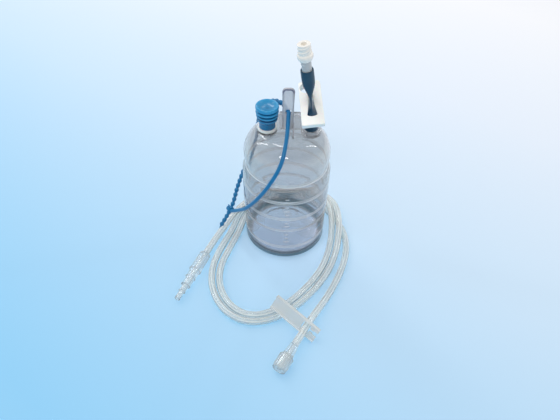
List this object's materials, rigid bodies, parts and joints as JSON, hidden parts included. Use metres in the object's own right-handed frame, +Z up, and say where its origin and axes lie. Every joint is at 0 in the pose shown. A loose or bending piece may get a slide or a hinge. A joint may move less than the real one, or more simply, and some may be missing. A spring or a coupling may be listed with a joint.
{
  "type": "wound drainage bottle",
  "caption": "Clear high-vacuum wound drainage bottle with vacuum bellows, slide clamp on a rubber sleeve, beaded hanging strap and a coiled connecting line with clamp and connectors",
  "frame": {"origin": "centre of the bottle's flat foot on the table", "axes": "+Z up along the bottle, +X from the bellows neck to the sleeve neck, -Y to the front"},
  "size_m": [0.1513, 0.2104, 0.1953],
  "materials": {
    "clear_shell": "clear moulded plastic, slightly blue-grey",
    "white_moulding": "cream white moulded plastic",
    "blue_rubber": "glossy mid blue rubber",
    "dark_blue_rubber": "dark blue rubber",
    "grey_tube": "translucent grey tube",
    "translucent_white": "translucent white moulded plastic",
    "blue_strap": "mid blue flexible plastic",
    "clear_line": "clear flexible tubing",
    "clear_fitting": "clear moulded plastic"
  },
  "bodies": {
    "root": {"bottle": "clear_shell", "collar_ring": "white_moulding", "sleeve": "dark_blue_rubber", "port_tube": "grey_tube", "port_connector": "translucent_white", "strap": "blue_strap", "tube_coil": "clear_line", "tail_inlet": "clear_line", "tail_outlet": "clear_line", "step_connector": "clear_fitting", "luer_body": "clear_fitting"},
    "bellows_body": {"bellows": "blue_rubber"},
    "sleeve_clamp_body": {"slide_clamp": "white_moulding"},
    "nut_body": {"luer_nut": "clear_fitting"},
    "line_clamp_body": {"line_clamp": "clear_fitting"}
  },
  "joints": [
    {"name": "bellows_rise", "type": "slide", "parent": "root", "child": "bellows_body", "axis": [0, 0, 1], "range_m": [0, 0.008], "deforming": ["bellows"]},
    {"name": "sleeve_clamp_slide", "type": "slide", "parent": "root", "child": "sleeve_clamp_body", "axis": [0.0601, -0.9824, -0.1771], "range_m": [0, 0.009]},
    {"name": "nut_turn", "type": "hinge", "parent": "root", "child": "nut_body", "pos_m": [0.0087, -0.1301, 0.00735], "axis": [-0.5077, -0.8612, -0.0227], "continuous": true},
    {"name": "line_clamp_slide", "type": "slide", "parent": "root", "child": "line_clamp_body", "axis": [-0.7763, 0.5957, 0.2062], "range_m": [0, 0.007], "deforming": ["tail_outlet"]}
  ]
}
